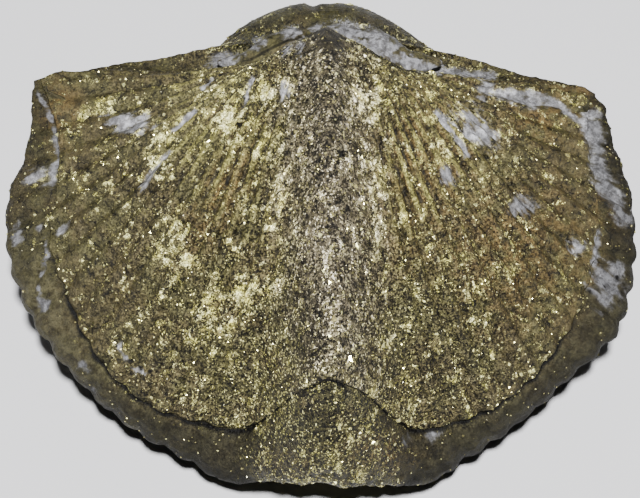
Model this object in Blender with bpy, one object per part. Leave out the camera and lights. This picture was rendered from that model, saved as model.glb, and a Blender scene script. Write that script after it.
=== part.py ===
"""A closed spiriferid brachiopod turned to pyrite, lying on its pedicle valve with the brachial valve up.

Each valve is grown: its free edge (the rim) and its hinge line form one ring, and that ring is turned about a coiling
axis behind the hinge while it shrinks, which gives the spiral profile, the incurved beak and the concave interarea.
Lines of one column are ribs, and lines of one age are growth lines. Across the opening each valve is closed by its half
of the rock inside it, and the halves part along the commissure.

Shell axes, in millimetres: x to the right, y towards the beaks, z towards the brachial valve, with the middle of the
hinge line at the origin. lay_down() turns them to the resting pose.
"""

import math

import bmesh
import bpy
import numpy as np
from mathutils import Euler, Matrix, Vector, noise

MM = 0.001

# The rim of the shell from the left end of the hinge round the front to the right end, without its fold:
# x, y, z, and how far the pedicle valve swells outside it.
RIM = np.array(
    (
        (-23.6, 0.3, 0.0, 0.8),
        (-22.3, -4.0, 0.4, 2.2),
        (-22.1, -9.5, 0.9, 4.7),
        (-22.7, -13.6, 0.9, 4.3),
        (-21.5, -17.8, 0.6, 4.0),
        (-18.8, -22.2, 0.0, 3.7),
        (-14.7, -25.9, -0.8, 3.7),
        (-10.2, -28.4, -1.2, 4.1),
        (-5.2, -29.7, -1.1, 5.6),
        (0.1, -30.0, -1.0, 7.4),
        (5.4, -29.7, -1.1, 5.6),
        (10.4, -28.4, -1.2, 3.8),
        (14.7, -25.7, -0.8, 3.1),
        (18.6, -21.8, 0.0, 3.4),
        (21.1, -17.4, 0.6, 3.9),
        (22.0, -13.2, 0.9, 4.0),
        (21.8, -9.2, 0.9, 3.8),
        (21.3, -4.6, 0.4, 2.6),
        (22.0, -0.9, 0.0, 0.8),
    )
)

# The fold of the brachial valve, and the sulcus of the pedicle valve that it fits: a wave in the rim.
FOLD_MIDDLE = 0.1
FOLD_HALF_WIDTH = 7.8
FOLD_RISE = 12.0
FOLD_SET_BACK = 3.0
FOLD_FADE_DEG = 85.0

# Growth of each valve, backwards from the rim: the coiling axis, the shrink per degree of turn along and across the
# shell, how slowly the shrink sets in, the turn in all, and the rows of faces.
BRACHIAL = dict(
    axis_y=0.9, axis_z=2.0, shrink=0.0185, narrow=0.0195, onset_deg=0.001, turn_deg=-200.0, rib_fade_deg=7.0, rows=20
)
PEDICLE = dict(
    axis_y=2.9, axis_z=-1.0, shrink=0.0125, narrow=0.0083, onset_deg=25.0, turn_deg=300.0, rib_fade_deg=30.0, rows=23
)
SWELL_PEAK_DEG = 11.0
SWELL_PEAK_FOLD_DEG = 17.0

RIBS_PER_FLANK = 16
RIB_HEIGHT = 0.42
RIB_FADED = 0.2
RIM_ZIGZAG = 0.05
FOLD_COLUMNS = 12
HINGE_COLUMNS = 8

UNEVEN_HEIGHT = 0.22
UNEVEN_SIZE = 5.0

CENTRE = (0.0, -13.0, 0.3)
OPENING_ROWS = (0.93, 0.75, 0.45)
PARTING = 0.3

# The grey shale packed between the two beaks, before the valves are cleared out of it.
SHALE_CENTRE = (0.1, 2.1, 0.35)
SHALE_RADII = (9.5, 2.5, 2.1)
SHALE_TAPER = 0.35
SHALE_TILT_DEG = -8.0
BRACHIAL_CLEARANCE = (0.0, 0.35, -0.3)
PEDICLE_CLEARANCE = (0.0, 0.0, 0.4)
BEAK_CLEARANCE = (0.0, -0.45, 0.0)

REST_PITCH_DEG = 11.9
REST_ROLL_DEG = 0.0
FLAT_DEPTH = 0.25

SHELL_BROWN = (0.19, 0.165, 0.105, 1.0)
BAND_BROWN = (0.13, 0.115, 0.075, 1.0)
SHALE_GREY = (0.27, 0.265, 0.28, 1.0)


def clear_scene():
    for obj in list(bpy.data.objects):
        bpy.data.objects.remove(obj, do_unlink=True)


def new_collection(name):
    collection = bpy.data.collections.new(name)
    bpy.context.scene.collection.children.link(collection)
    return collection


def material(name, colour, metallic, roughness):
    made = bpy.data.materials.new(name)
    made.use_nodes = True
    shader = made.node_tree.nodes["Principled BSDF"]
    shader.inputs["Base Color"].default_value = colour
    shader.inputs["Metallic"].default_value = metallic
    shader.inputs["Roughness"].default_value = roughness
    made.diffuse_color = colour
    return made


def smooth_through(points, at):
    """Points on the Catmull-Rom curve through `points`, at positions counted in control points."""
    ends = np.vstack((2 * points[0] - points[1], points, 2 * points[-1] - points[-2]))
    first = np.clip(np.floor(at).astype(int), 0, len(points) - 2)
    t = (at - first)[:, None]
    a, b, c, d = (ends[first + k] for k in range(4))
    return b + 0.5 * t * (c - a + t * (2 * a - 5 * b + 4 * c - d + t * (3 * (b - c) + d - a)))


def fold_wave(x):
    across = np.clip(np.abs(x - FOLD_MIDDLE) / FOLD_HALF_WIDTH, 0.0, 1.0)
    return np.cos(0.5 * math.pi * across) ** 1.7


def ring_columns():
    """The ring that grows: columns from the left end of the hinge round the rim and back along the hinge.

    Returns x, y, z and swell of each column, the share of the fold in it, and the sign of its rib.
    """
    fine = smooth_through(RIM, np.linspace(0, len(RIM) - 1, 2001))
    length = np.concatenate(([0.0], np.cumsum(np.linalg.norm(np.diff(fine[:, :2], axis=0), axis=1))))
    front = fine[:, 1] < -25.0
    left = np.interp(FOLD_MIDDLE - FOLD_HALF_WIDTH, fine[front, 0], length[front])
    right = np.interp(FOLD_MIDDLE + FOLD_HALF_WIDTH, fine[front, 0], length[front])
    steps = 2 * RIBS_PER_FLANK
    stops = np.concatenate(
        (
            np.linspace(0.0, left, steps + 1),
            np.linspace(left, right, FOLD_COLUMNS + 1)[1:-1],
            np.linspace(right, length[-1], steps + 1),
        )
    )
    rim = np.stack([np.interp(stops, length, fine[:, k]) for k in range(4)], axis=1)
    flank = np.where(np.arange(steps + 1) % 2, 1.0, -1.0)
    flank[[0, -1]] = 0.0
    ribs = np.concatenate((flank, np.zeros(FOLD_COLUMNS - 1), flank))
    rim[:, 2] += RIM_ZIGZAG * ribs
    along = np.linspace(0.0, 1.0, HINGE_COLUMNS + 1)[1:-1, None]
    hinge = fine[-1] + (fine[0] - fine[-1]) * along
    fold = np.concatenate((fold_wave(rim[:, 0]), np.zeros(len(hinge))))
    ribs = np.concatenate((ribs, np.zeros(len(hinge))))
    return np.vstack((rim, hinge)), fold, ribs


def grown(valve, ring, fold, turn):
    """The ring at one age, `turn` degrees back from the rim."""
    shrink_age = turn * (1 - math.exp(-turn / valve["onset_deg"]))
    shrink = math.exp(-valve["shrink"] * shrink_age)
    narrow = math.exp(-valve["narrow"] * shrink_age)
    wave = fold * math.exp(-turn / FOLD_FADE_DEG)
    y = ring[:, 1] + FOLD_SET_BACK * wave - valve["axis_y"]
    z = ring[:, 2] + FOLD_RISE * wave - valve["axis_z"]
    angle = math.copysign(math.radians(turn), valve["turn_deg"])
    points = np.stack(
        (
            ring[:, 0] * narrow,
            valve["axis_y"] + shrink * (y * math.cos(angle) - z * math.sin(angle)),
            valve["axis_z"] + shrink * (y * math.sin(angle) + z * math.cos(angle)),
        ),
        axis=1,
    )
    if valve is PEDICLE:
        age = turn / (SWELL_PEAK_DEG + (SWELL_PEAK_FOLD_DEG - SWELL_PEAK_DEG) * fold)
        power = 1 + 0.5 * fold
        swell = ring[:, 3] * age**power * np.exp(power * (1 - age))
        outward = ring[:, :2] / np.linalg.norm(ring[:, :2], axis=1, keepdims=True)
        on_rim = np.arange(len(ring)) < len(ring) - HINGE_COLUMNS + 1
        points[:, :2] += outward * (swell * on_rim)[:, None]
    return points


def normals(grid):
    """Unit normals of a grid of points whose columns close on themselves."""
    along = np.gradient(grid, axis=0)
    across = np.roll(grid, -1, axis=1) - np.roll(grid, 1, axis=1)
    found = np.cross(along, across)
    return found / np.maximum(np.linalg.norm(found, axis=2, keepdims=True), 1e-9)


def valve_grid(valve, rib_height):
    """Rows of points from the beak to the rim and on to the middle of the opening, with the two end points."""
    ring, fold, ribs = ring_columns()
    turns = abs(valve["turn_deg"]) * np.linspace(1.0, 0.0, valve["rows"] + 1) ** 1.35
    outside = np.array([grown(valve, ring, fold, turn) for turn in turns])
    side = 1.0 if valve is BRACHIAL else -1.0
    outward = normals(outside) * side
    shrink = np.exp(-valve["shrink"] * turns)
    full = 1 - (1 - RIB_FADED) * np.exp(-turns / valve["rib_fade_deg"])
    lift = (0.5 * rib_height * full * np.minimum(1.0, 2 * shrink))[:, None] * ribs[None, :]
    rough = np.array([[noise.noise(Vector(p) / UNEVEN_SIZE) for p in row] for row in outside])
    lift += UNEVEN_HEIGHT * rough * (np.minimum(1.0, turns / 6.0) * np.minimum(1.0, 3 * shrink))[:, None]
    outside = outside + outward * lift[:, :, None]

    rim = grown(valve, ring, fold, 0.0)
    centre = np.array(CENTRE)
    opening = [rim]
    for share in OPENING_ROWS:
        row = centre + (rim - centre) * share
        row[:, 2] = centre[2] + (rim[:, 2] - centre[2]) * share**2.5
        opening.append(row)
    opening = np.array(opening)
    opening -= normals(opening) * (side * 0.5 * PARTING)
    middle = centre + (0.0, 0.0, side * 0.5 * PARTING)
    outside[-1] = opening[0]
    return np.vstack((outside, opening[1:])), middle


def valve_mesh(name, valve, rib_height=RIB_HEIGHT, column_step=1):
    """A sphere of rows and columns, each vertex moved to its place on the valve."""
    grid, middle = valve_grid(valve, rib_height)
    grid = grid[:, ::column_step]
    rows, columns = grid.shape[:2]
    mesh = bmesh.new()
    bmesh.ops.create_uvsphere(mesh, u_segments=columns, v_segments=rows + 1, radius=1.0)
    for vertex in mesh.verts:
        row = round(vertex.co.angle(Vector((0, 0, 1))) / math.pi * (rows + 1))
        column = round(math.atan2(vertex.co.y, vertex.co.x) / (2 * math.pi) * columns) % columns
        if row == 0:
            vertex.co = grid[0].mean(axis=0)
        elif row > rows:
            vertex.co = middle
        else:
            vertex.co = grid[row - 1, column]
    bmesh.ops.triangulate(mesh, faces=mesh.faces)
    bmesh.ops.recalc_face_normals(mesh, faces=mesh.faces)
    return finished(mesh, name)


def finished(mesh, name):
    data = bpy.data.meshes.new(name)
    mesh.to_mesh(data)
    mesh.free()
    return bpy.data.objects.new(name, data)


def valve_room(name, valve, clearance):
    """What the shale leaves free for a valve: every fourth column, raised to the tops of the ribs, and moved."""
    room = valve_mesh(name, valve, -RIB_HEIGHT, 4)
    room.data.transform(Matrix.Translation(clearance))
    return room


def shale_lens(name):
    mesh = bmesh.new()
    bmesh.ops.create_icosphere(mesh, subdivisions=3, radius=1.0)
    tilt = Euler((math.radians(SHALE_TILT_DEG), 0.0, 0.0)).to_matrix()
    for vertex in mesh.verts:
        vertex.co.yz *= 1 - SHALE_TAPER * abs(vertex.co.x)
        vertex.co = tilt @ (vertex.co * Vector(SHALE_RADII)) + Vector(SHALE_CENTRE)
    return finished(mesh, name)


def lay_down(objects, solids):
    """Turns the objects to the resting pose, with the middle of the solids' underside at the origin."""
    turn = Euler((math.radians(REST_PITCH_DEG), math.radians(REST_ROLL_DEG), 0.0)).to_matrix()
    for obj in objects:
        obj.data.transform(turn.to_4x4())
    points = np.array([vertex.co for obj in solids for vertex in obj.data.vertices])
    low, high = points.min(axis=0), points.max(axis=0)
    shift = Vector((-0.5 * (low[0] + high[0]), -0.5 * (low[1] + high[1]), -low[2] - FLAT_DEPTH))
    for obj in objects:
        for vertex in obj.data.vertices:
            vertex.co = (vertex.co + shift) * MM
        obj.data.update()


def cut(obj, cutter):
    modifier = obj.modifiers.new(cutter.name, "BOOLEAN")
    modifier.operation = "DIFFERENCE"
    modifier.solver = "EXACT"
    modifier.use_self = True
    modifier.object = cutter


def floor_cutter():
    mesh = bmesh.new()
    bmesh.ops.create_cube(mesh, size=1.0)
    bmesh.ops.scale(mesh, vec=(0.08, 0.08, 0.01), verts=mesh.verts)
    bmesh.ops.translate(mesh, vec=(0.0, 0.0, -0.005), verts=mesh.verts)
    return finished(mesh, "below_the_floor")


def build():
    clear_scene()
    shell = new_collection("brachiopod_fossil")
    cutters = new_collection("cutters")
    cutters.hide_render = True

    brachial = valve_mesh("brachial_valve", BRACHIAL)
    pedicle = valve_mesh("pedicle_valve", PEDICLE)
    shale = shale_lens("interarea_shale")
    rooms = (
        valve_room("brachial_room", BRACHIAL, BRACHIAL_CLEARANCE),
        valve_room("pedicle_room", PEDICLE, PEDICLE_CLEARANCE),
        valve_room("beak_room", PEDICLE, BEAK_CLEARANCE),
    )
    lay_down((brachial, pedicle, shale, *rooms), (brachial, pedicle))
    floor = floor_cutter()

    for obj, colour, metallic, roughness in (
        (brachial, SHELL_BROWN, 0.5, 0.5),
        (pedicle, BAND_BROWN, 0.5, 0.55),
        (shale, SHALE_GREY, 0.0, 0.75),
    ):
        shell.objects.link(obj)
        obj.data.materials.append(material(obj.name, colour, metallic, roughness))
    for obj in (*rooms, floor):
        cutters.objects.link(obj)
        obj.hide_render = True
        obj.display_type = "WIRE"
    cut(pedicle, floor)
    for room in rooms:
        cut(shale, room)


build()
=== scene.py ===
"""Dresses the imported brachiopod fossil.

The two valves are grown again by the law that the solids follow, but finely, with rounded ribs,
growth lamellae and a rough crust. Small pyrite crystals sit on them, and grey shale fills the
space between the beaks.

Lengths are in millimetres until a mesh is made. The shell frame has x to the right, y towards the
beaks and z towards the brachial valve, with the middle of the hinge line at the origin. The row
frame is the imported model's. Turns are degrees of growth, counted back from the rim of a valve.
"""

import math
from types import SimpleNamespace

import bmesh
import bpy
import numpy as np
from mathutils import Euler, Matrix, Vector, noise


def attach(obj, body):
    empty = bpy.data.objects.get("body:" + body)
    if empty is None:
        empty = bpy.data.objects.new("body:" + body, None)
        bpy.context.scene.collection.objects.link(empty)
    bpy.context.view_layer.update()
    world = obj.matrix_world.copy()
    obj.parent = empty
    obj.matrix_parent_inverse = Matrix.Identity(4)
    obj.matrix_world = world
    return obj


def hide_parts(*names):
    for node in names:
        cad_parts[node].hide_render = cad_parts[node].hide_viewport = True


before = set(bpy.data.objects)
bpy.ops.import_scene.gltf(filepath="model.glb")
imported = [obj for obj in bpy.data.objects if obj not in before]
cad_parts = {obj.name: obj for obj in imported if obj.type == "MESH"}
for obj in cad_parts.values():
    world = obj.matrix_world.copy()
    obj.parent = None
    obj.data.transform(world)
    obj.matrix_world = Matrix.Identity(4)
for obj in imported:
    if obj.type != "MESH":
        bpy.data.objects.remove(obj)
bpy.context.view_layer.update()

MM = 0.001

# ----------------------------------------------------------
# The shell's driving dimensions, as in the part's source
# ----------------------------------------------------------

# The rim from the left end of the hinge round the front to the right end, without its fold:
# x, y, z, and how far the pedicle valve swells outside it.
RIM = np.array(
    (
        (-23.6, 0.3, 0.0, 0.8),
        (-22.3, -4.0, 0.4, 2.2),
        (-22.1, -9.5, 0.9, 4.7),
        (-22.7, -13.6, 0.9, 4.3),
        (-21.5, -17.8, 0.6, 4.0),
        (-18.8, -22.2, 0.0, 3.7),
        (-14.7, -25.9, -0.8, 3.7),
        (-10.2, -28.4, -1.2, 4.1),
        (-5.2, -29.7, -1.1, 5.6),
        (0.1, -30.0, -1.0, 7.4),
        (5.4, -29.7, -1.1, 5.6),
        (10.4, -28.4, -1.2, 3.8),
        (14.7, -25.7, -0.8, 3.1),
        (18.6, -21.8, 0.0, 3.4),
        (21.1, -17.4, 0.6, 3.9),
        (22.0, -13.2, 0.9, 4.0),
        (21.8, -9.2, 0.9, 3.8),
        (21.3, -4.6, 0.4, 2.6),
        (22.0, -0.9, 0.0, 0.8),
    )
)
FOLD_MIDDLE = 0.1
FOLD_HALF_WIDTH = 7.8
FOLD_RISE = 12.0
FOLD_SET_BACK = 3.0
FOLD_FADE_DEG = 85.0
FOLD_POWER = 1.7
FRONT_Y = -25.0
# Growth of each valve, backwards from the rim: the coiling axis, the shrink per degree of turn
# along and across the shell, how slowly the shrink sets in, and the turn in all.
BRACHIAL = dict(
    axis_y=0.9, axis_z=2.0, shrink=0.0185, narrow=0.0195, onset_deg=0.001, turn_deg=-200.0
)
PEDICLE = dict(
    axis_y=2.9, axis_z=-1.0, shrink=0.0125, narrow=0.0083, onset_deg=25.0, turn_deg=300.0
)
SWELL_PEAK_DEG = 11.0
SWELL_PEAK_FOLD_DEG = 17.0
SWELL_POWER_MORE_ON_FOLD = 0.5
RIBS_PER_FLANK = 16
FOLD_COLUMNS = 12
UNEVEN_HEIGHT = 0.22
UNEVEN_SIZE = 5.0
UNEVEN_FROM = (0.0, 9.0)
CENTRE = (0.0, -13.0, 0.3)
SHALE_CENTRE = (0.1, 2.1, 0.35)
SHALE_RADII = (9.5, 2.5, 2.1)
SHALE_TAPER = 0.35
SHALE_TILT_DEG = -8.0

# The resting pose: the shell frame is pitched, and the middle of its hinge line goes to this point
# of the row frame.
REST_PITCH_DEG = 11.9
HINGE_MIDDLE = (0.549, 12.890, 17.506)

# ----------------------------------------------------------
# The fine surface
# ----------------------------------------------------------

RIM_SAMPLES = 4001
FINE_PER_COLUMN = 6
HINGE_COLUMNS = 100
ROWS = 158
ROW_CROWDING = 1.35
OPENING_SHARES = (0.995, 0.97, 0.9, 0.75, 0.45)
LIP_DEPTH = 0.17
LIP_DEG = 0.8
LIP_ON_FOLD = 0.6
LIP_SLOPE = 0.9
CREST_GAP = (322, 381, 20, 8, 0)

# Pairs in braces are for the brachial valve, 1, and the pedicle valve, -1.
RIB_HEIGHT = 0.46
RIB_FADED = 0.3
RIB_FADE_DEG = {1.0: 24.0, -1.0: 36.0}
RIBS_SHOWN_FROM = {1.0: (14.0, 36.0), -1.0: (8.0, 30.0)}
RIBS_SHOWN_TO = (70.0, 120.0)
RIBS_LOWER_FROM = (80.0, 130.0)
RIBS_LOWER_BY = 0.7
RIB_SHARPNESS = 1.3
RIBBED_MORE = 0.1
RIM_SCALLOP = 0.13
RIM_BULGE = 0.1
RIM_WANDER = ((2.4, 0.12), (0.8, 0.1))
RIM_WANDER_OUTWARDS = 0.6
LAMELLA_HEIGHT = 0.07
LAMELLA_SPACING_DEG = 2.1
LAMELLAE_FADE_DEG = (60.0, 20.0)
TONGUE_LINE_HEIGHT = 0.09
TONGUE_LINE_SPACING_DEG = 0.9
TONGUE_FOLD = (0.25, 0.7)
LINES_WANDER = 0.5
LINES_WANDER_SIZE = 4.0
TONGUE_LINES_WANDER = 0.4
CRUST_LUMPS = ((1.6, 0.1), (0.7, 0.085), (0.36, 0.05))
CRUST_DEG = (0.0, 3.0)
CRUST_LOST_BARE = 0.7
CRUST_LOST_RIBBED = 0.25
CLUMP_HEIGHT = 0.1
CLUMP_EDGE = (0.15, 0.35)
BARE_DEPTH = 0.09
BARE_EDGE = (0.4, 0.6)
CRACK_DEPTH = 0.3
# Times the size of a ring against the rim, and 1 at most: what is left of the ribs and of the rest
# of the relief near the beak.
RIBS_KEPT = 2.0
RELIEF_KEPT = 3.0

# How squarely a surface faces the camera, as a cosine, where marks set in on it.
MARKS_FACING = (0.02, 0.2)
# The share of the fold over which the flanks' look gives way to the fold's.
FOLD_EDGE = (0.05, 0.4)
# The dark seam along the rim, a dark joint with painted shadow in its gap: the rows of the
# photograph over which it comes in, and its lumps.
SEAM_DEG = 0.25
SEAM_SLOPE = 0.08
SEAM_FRONT = (240.0, 330.0)
SEAM_BEHIND = 0.3
SEAM_ON_FOLD = 0.8
SEAM_SHARE = 0.8
SEAM_UNEVEN = 0.5
SEAM_LUMP_SIZE = 1.2
# Noise that makes the edges of bare patches ragged, and that gathers the crust's bright flakes in
# clumps: size and share.
BARE_EDGES = ((2.0, 0.14), (0.9, 0.16), (0.35, 0.1))
CLUMPS = ((1.3, 0.26), (0.55, 0.3), (0.28, 0.24))
CLUMP_DENSITY = 0.06
CLUMP_BRIGHT = 0.25
CLUMP_RIBBED = 0.05
CLUMP_BAND = -0.2
CLUMP_LINED = -0.12
# How fine and gritty the crust is: most in the middle, least on the ears and the band.
FINE_MIDDLE = 1.2
FINE_HALF_WIDTH = 19.0
FINE_RANGE = (0.1, 1.0)
FINE_LOST_BAND = 0.7
FINE_LOST_SMOOTH = 0.8
FINE_LOST_RIBBED = 0.6
# The pedicle valve's plain band sets in behind the rim, by these shares from and to these turns. It
# fades out underneath and at the tongue, unevenly, and is plainest towards the front.
BAND_SETS_IN = ((0.65, 0.0, 0.6), (0.35, 2.0, 8.0))
BAND_FADES_DEG = (9.0, 27.0)
BAND_FADES_FOLD = (0.05, 0.65)
BAND_WANDER_SIZE = 2.2
BAND_WANDER_DEG = 14
BAND_WANDER_FOLD = 0.4
BAND_FRONT = (220.0, 310.0)
BAND_BEHIND = 0.2
# Painted shade on the band, deepest towards the front and lighter at the left, and the share of the
# marked painted shade and darker colour.
BAND_SHADE_FRONT = (330.0, 410.0)
BAND_SHADE_BEHIND = 0.82
LESS_SHADED_BAND_LOSS = 0.85
SHADE_AND_DARK_SHARE = 0.58
# How dark the painted shadow along the brachial valve's outline is.
OUTLINE_SHADOW_SHARE = 0.8

# ----------------------------------------------------------
# The camera, in the photograph's frame of 640 x 498 pixels
# ----------------------------------------------------------

FRAME_WIDTH, FRAME_HEIGHT = 640, 498
CAMERA_ELEVATION_DEG = 66.0
CAMERA_DISTANCE = 230.0
CAMERA_TARGET = (-0.122, -0.869, 13.613)
PIXELS_PER_SLOPE = 2828.7
SENSOR = 36.0

# Marks placed on the photograph's frame: x, y, half length, half width in pixels, and the lean of
# the length in degrees, clockwise from the x axis. The first are for the shale and the pedicle
# valve behind the brachial valve's beak.
BEHIND_MARKS = (
    (222, 60, 17, 8, -22),
    (258, 42, 9, 6, -25),
    (290, 32, 11, 6, -15),
    (317, 27, 7, 4, -25),
    (347, 32, 19, 11, 25),
    (379, 44, 23, 13, 30),
    (410, 63, 22, 7, 18),
)
BARE_MARKS = (
    (287, 49, 4, 8, 35),
    (300, 46, 4, 9, 10),
    (131, 122, 24, 10, 8),
    (285, 92, 6, 10, 15),
    (472, 128, 26, 13, 38),
    (448, 176, 8, 11, -20),
    (486, 88, 11, 9, -30),
    (523, 206, 12, 10, 10),
    (578, 249, 9, 8, 0),
    (608, 286, 18, 17, 40),
    (36, 178, 12, 11, 0),
    (60, 231, 10, 5, -40),
    (17, 238, 6, 13, 0),
    (44, 306, 5, 8, 0),
    (82, 365, 7, 5, 45),
    (91, 392, 5, 4, 30),
    (131, 420, 5, 4, 0),
    (407, 441, 6, 7, 0),
    (432, 438, 12, 5, -25),
)
# The same bare shell in long strips: half width, then the points of the line.
BARE_STRIPS = (
    (5, (420, 67), (445, 71), (470, 75), (492, 76)),
    (4, (438, 114), (452, 133), (466, 155)),
    (7, (500, 92), (531, 100), (548, 102)),
    (3.5, (548, 102), (560, 105), (572, 116), (582, 122)),
    (10, (590, 118), (596, 140), (599, 165), (610, 190), (624, 218)),
    (4, (600, 232), (598, 248), (596, 262)),
    (8, (620, 268), (612, 288), (604, 304)),
    (3.5, (142, 186), (150, 176), (160, 164), (170, 152)),
    (2, (175, 131), (186, 121), (196, 112)),
    (2.5, (252, 78), (247, 92), (244, 106)),
    (2, (202, 88), (213, 80)),
    (2.5, (37, 93), (47, 110), (53, 129), (56, 157), (50, 182), (47, 199)),
    (2.5, (39, 227), (46, 254), (38, 285), (40, 306)),
    (2.6, (119, 343), (121, 352), (127, 362), (135, 369), (147, 374)),
)
# Rust tints.
GOLD_MARKS = (
    (58, 110, 16, 28, 0),
    (578, 98, 26, 18, 0),
    (542, 118, 36, 22, 0),
    (415, 170, 50, 75, 30),
    (225, 190, 16, 50, 25),
    (606, 210, 10, 16, 0),
    (520, 250, 60, 55, 0),
    (385, 452, 28, 15, 0),
)
# Clusters of bright flakes.
BRIGHT_MARKS = (
    (85, 118, 10, 8, 0),
    (107, 107, 10, 8, 0),
    (232, 100, 10, 14, 0),
    (270, 97, 8, 14, 0),
    (164, 140, 9, 14, 0),
    (228, 130, 20, 16, 0),
    (377, 97, 14, 12, 0),
    (240, 295, 26, 12, -10),
    (210, 320, 20, 14, 0),
    (172, 250, 16, 20, 0),
    (345, 432, 7, 10, 0),
    (328, 387, 9, 4, 0),
    (582, 101, 9, 6, 20),
    (600, 103, 4, 5, 0),
    (362, 105, 11, 22, -10),
    (370, 190, 6, 50, -8),
    (281, 195, 5, 14, 0),
    (35, 180, 11, 10, 0),
    (157, 166, 10, 5, -50),
    (286, 92, 6, 9, 15),
    (44, 306, 5, 8, 0),
    (262, 437, 9, 7, 30),
    (166, 148, 10, 8, -40),
)
# Painted shade on the beak's top and at the lower right edge, and darker colour at the other
# places.
SHADE_AND_DARK_MARKS = (
    (325, 38, 24, 15, 0),
    (600, 335, 26, 34, 30),
    (523, 206, 14, 12, 0),
    (318, 150, 5, 45, 0),
    (310, 330, 20, 50, 0),
)
# Places without grit.
SMOOTH_MARKS = (
    (325, 38, 18, 12, 0),
    (330, 12, 100, 15, 0),
)
# Where the tongue shows its growth lines, and where the band's painted shade is lighter.
LINED_MARK = (320, 408, 28, 32, 0)
LESS_SHADED_BAND_MARK = (40, 260, 60, 150, 0)
# The greyer crust of the fold, and the flanks where the ribs are plainest, with deeper painted
# shade in their grooves.
FOLD_GREY = (331, 205, 38, 175, -2)
RIBBED_MARKS = (
    (415, 172, 58, 88, 22),
    (222, 155, 50, 85, -25),
)
# The same, with a shift along x and y in millimetres at the end, where the fossil is chipped or
# swollen.
NUDGES = (
    (38, 76, 12, 10, 0, 0.0, -0.45),
    (36, 112, 16, 36, 0, -0.45, 0.0),
    (12, 192, 16, 32, 0, -0.5, 0.0),
    (34, 80, 10, 9, 0, 0.15, -0.3),
    (112, 66, 40, 10, 0, 0.0, 0.3),
    (396, 20, 44, 14, 30, -0.3, -0.45),
    (602, 90, 11, 11, 0, -0.6, -0.5),
    (313, 4, 5, 6, 0, 0.0, -0.3),
    (380, 488, 28, 8, 0, 0.0, -0.4),
    (322, 482, 11, 7, 0, 0.0, 0.45),
    (327, 378, 36, 15, 0, 0.0, -0.35),
    (325, 34, 10, 9, 0, 0.0, 0.35),
    (376, 54, 34, 12, 30, 0.0, -0.3),
    (138, 384, 70, 24, 40, -0.7, -0.9),
    (515, 378, 65, 22, -42, 0.55, -0.7),
    (602, 335, 34, 24, -60, 0.35, -0.2),
    (606, 320, 28, 26, -70, 0.35, 0.0),
)
# Points of each crack. The wide one is the gap on top of the arch.
CRACKS = (
    ((127, 356), (133, 365), (144, 371), (155, 372), (164, 364)),
    ((588, 293), (600, 290), (610, 285), (618, 279), (626, 274)),
    ((310, 478), (322, 476), (332, 474), (340, 470)),
    ((345, 480), (352, 484), (362, 485), (372, 484), (379, 479)),
    ((220, 437), (234, 436), (247, 433)),
    ((412, 434), (424, 435), (436, 432)),
)
CRACK_HALF_WIDTH = 1.1
ARCH_CRACK = ((303, 391), (312, 388), (320, 383), (330, 381), (338, 383), (345, 389))
ARCH_CRACK_HALF_WIDTH = 2.0
# Painted shadow: the dark line in the shale and the rock along the brachial valve's outline.
OUTLINE_SHADOW_LINE = (
    (250, 60), (268, 50), (286, 41), (306, 37), (318, 32), (325, 29),
    (336, 36), (354, 43), (378, 57), (398, 70), (420, 73),
)
OUTLINE_HALF_WIDTH = 1.5


def smooth_step(value, low, high):
    """0 at `low`, 1 at `high` and smooth between them."""
    share = np.clip((value - low) / (high - low), 0.0, 1.0)
    return share * share * (3 - 2 * share)


def noise_at(points, size, seed=0.0):
    """Smooth noise from -1 to 1 at each of the points, with features about `size` apart."""
    flat = (np.asarray(points).reshape(-1, 3) / size + seed).tolist()
    return np.array([noise.noise(point) for point in flat]).reshape(np.shape(points)[:-1])


def clump_noise(points):
    """High where the crust gathers in clumps."""
    return sum(share * noise_at(points, size, 7.0 * size) for size, share in CLUMPS)


def painted_outline_shadow(at):
    """The painted shadow behind the brachial valve's outline."""
    return smooth_step(near_line(at, OUTLINE_SHADOW_LINE, OUTLINE_HALF_WIDTH), 0.1, 0.8)


def camera_axes():
    """Which way the camera looks, and which way is up for it."""
    lean = math.radians(CAMERA_ELEVATION_DEG)
    forward = np.array((0.0, math.cos(lean), -math.sin(lean)))
    up = np.array((0.0, math.sin(lean), math.cos(lean)))
    return forward, up


def camera_place():
    return np.array(CAMERA_TARGET) - camera_axes()[0] * CAMERA_DISTANCE


def picture_point(points):
    """Where points of the row frame, in millimetres, fall on the photograph's frame."""
    forward, up = camera_axes()
    away = points - camera_place()
    depth = away @ forward
    x = 0.5 * FRAME_WIDTH + PIXELS_PER_SLOPE * away[..., 0] / depth
    y = 0.5 * FRAME_HEIGHT - PIXELS_PER_SLOPE * (away @ up) / depth
    return np.stack((x, y), axis=-1)


def mark(at, x, y, half_length, half_width, lean_deg):
    """1 in the middle of an ellipse, 0.5 on its outline and 0 from twice its size outwards."""
    lean = math.radians(lean_deg)
    dx, dy = at[..., 0] - x, at[..., 1] - y
    along = (dx * math.cos(lean) + dy * math.sin(lean)) / half_length
    across = (dy * math.cos(lean) - dx * math.sin(lean)) / half_width
    return np.clip(1 - 0.5 * np.hypot(along, across), 0.0, 1.0)


def nudged(points):
    """The points with the shifts of NUDGES, each fading out from the middle of its mark."""
    at = picture_point(points)
    moved = points.copy()
    for *place, dx, dy in NUDGES:
        share = smooth_step(mark(at, *place), 0.0, 1.0)
        moved[..., 0] += dx * share
        moved[..., 1] += dy * share
    return moved


def marks(at, rows):
    """The strongest of several marks at each point."""
    return np.max([mark(at, *row) for row in rows], axis=0)


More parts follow.
